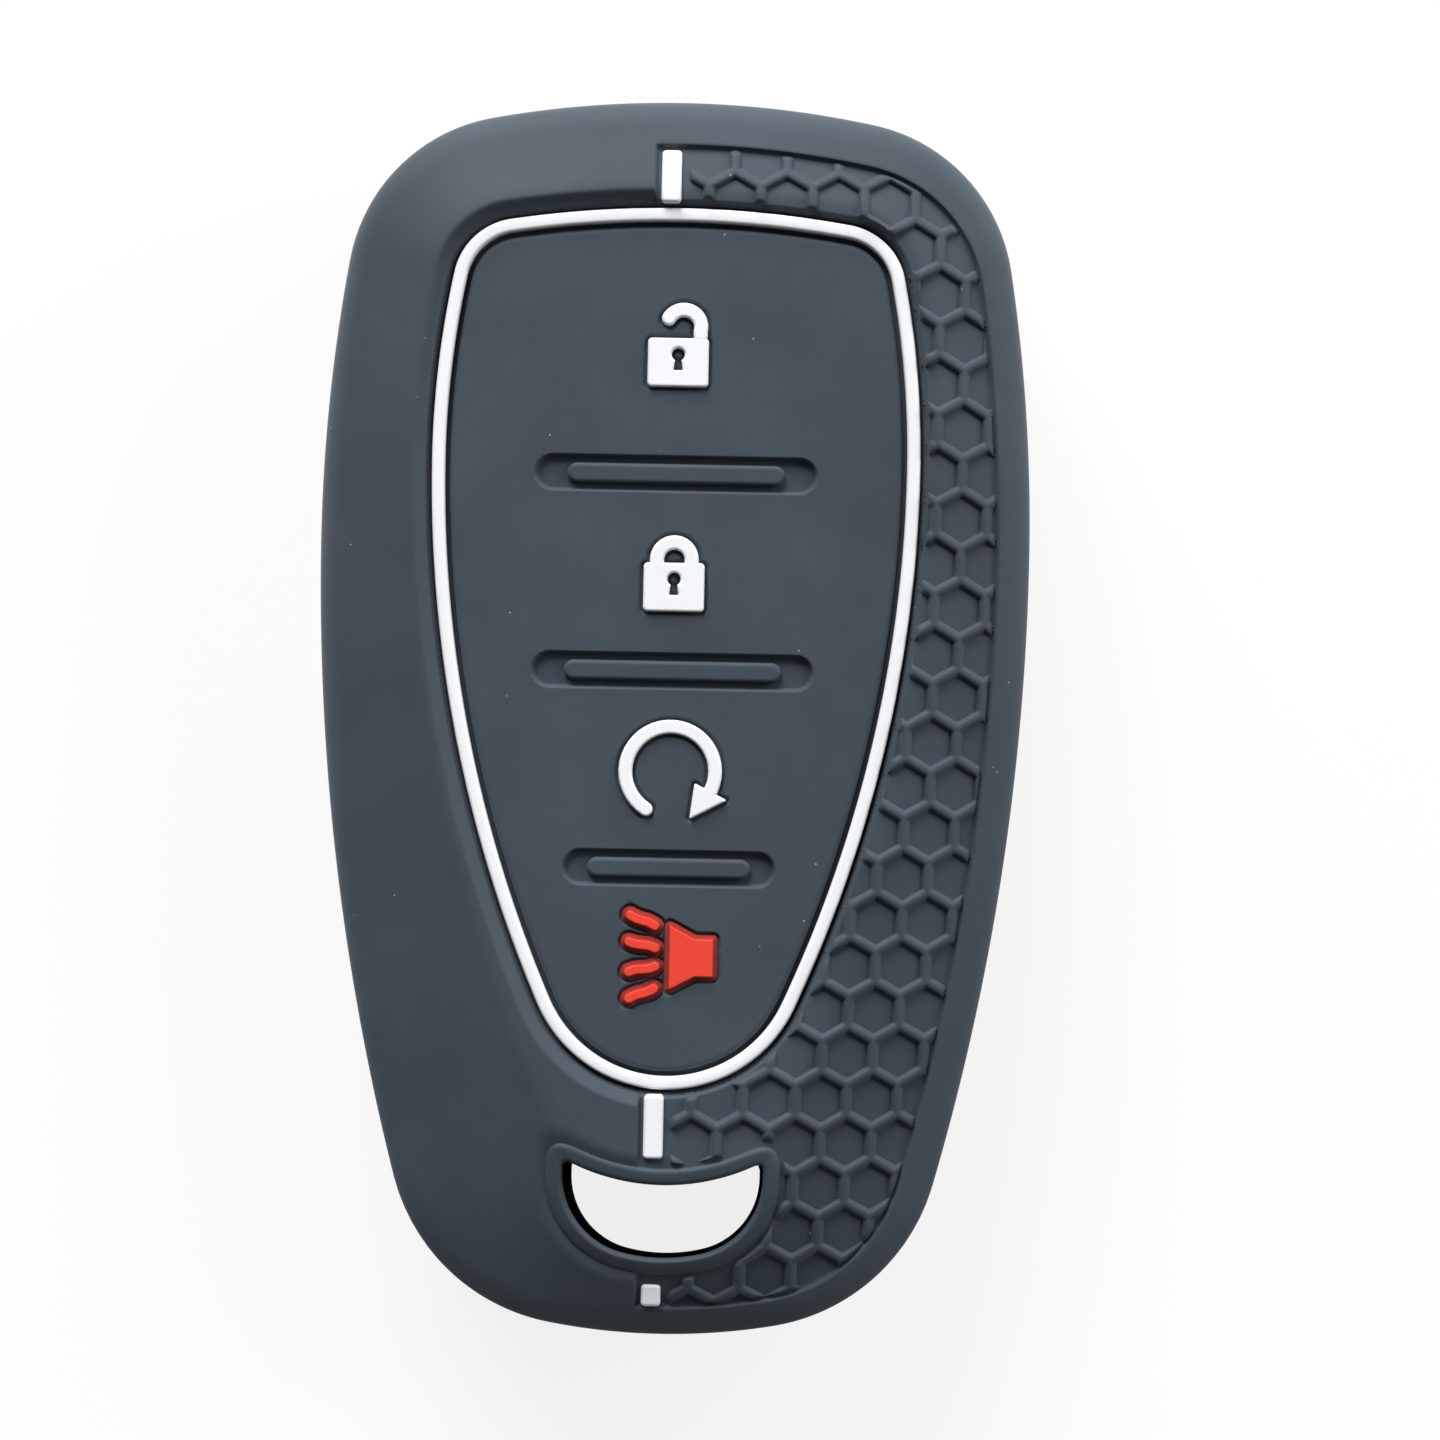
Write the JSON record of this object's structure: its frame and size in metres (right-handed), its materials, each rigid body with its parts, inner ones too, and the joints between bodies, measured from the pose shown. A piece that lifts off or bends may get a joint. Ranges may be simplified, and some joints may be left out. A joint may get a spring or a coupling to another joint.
{
  "type": "key fob cover",
  "caption": "Soft silicone cover for a car key fob, with an open back, press pads inside a raised ring, a honeycomb grip on one side and a curved key ring slot.",
  "frame": {"origin": "middle of the cover's outline on the plane of its back lip", "axes": "+X to the right as the face is read, +Y towards the unlock end, +Z out of the face"},
  "size_m": [0.0472, 0.082, 0.0175],
  "materials": {
    "black_silicone": "matte",
    "white_silicone": "satin",
    "red_silicone": "satin"
  },
  "bodies": {
    "cover": {"cover_shell": "black_silicone", "honeycomb_grip": "black_silicone", "outline_ring": "white_silicone", "top_marker": "white_silicone", "middle_marker": "white_silicone", "bottom_marker": "white_silicone", "divider_ridge_upper": "black_silicone", "divider_ridge_middle": "black_silicone", "divider_ridge_lower": "black_silicone", "unlock_web": "black_silicone", "lock_web": "black_silicone", "start_web": "black_silicone", "panic_web": "black_silicone"},
    "unlock_button": {"unlock_pad": "black_silicone", "unlock_symbol": "white_silicone"},
    "lock_button": {"lock_pad": "black_silicone", "lock_symbol": "white_silicone"},
    "start_button": {"start_pad": "black_silicone", "start_symbol": "white_silicone"},
    "panic_button": {"panic_pad": "black_silicone", "horn_symbol": "red_silicone", "sound_wave_1": "red_silicone", "sound_wave_2": "red_silicone", "sound_wave_3": "red_silicone", "sound_wave_4": "red_silicone"}
  },
  "joints": [
    {"name": "unlock_press", "type": "slide", "parent": "cover", "child": "unlock_button", "axis": [0, 0, -1], "range_m": [0, 0.0008], "stiffness_N_per_m": 1000, "deforming": ["unlock_web"]},
    {"name": "lock_press", "type": "slide", "parent": "cover", "child": "lock_button", "axis": [0, 0, -1], "range_m": [0, 0.0008], "stiffness_N_per_m": 1000, "deforming": ["lock_web"]},
    {"name": "start_press", "type": "slide", "parent": "cover", "child": "start_button", "axis": [0, 0, -1], "range_m": [0, 0.0008], "stiffness_N_per_m": 1000, "deforming": ["start_web"]},
    {"name": "panic_press", "type": "slide", "parent": "cover", "child": "panic_button", "axis": [0, 0, -1], "range_m": [0, 0.0008], "stiffness_N_per_m": 1000, "deforming": ["panic_web"]}
  ]
}
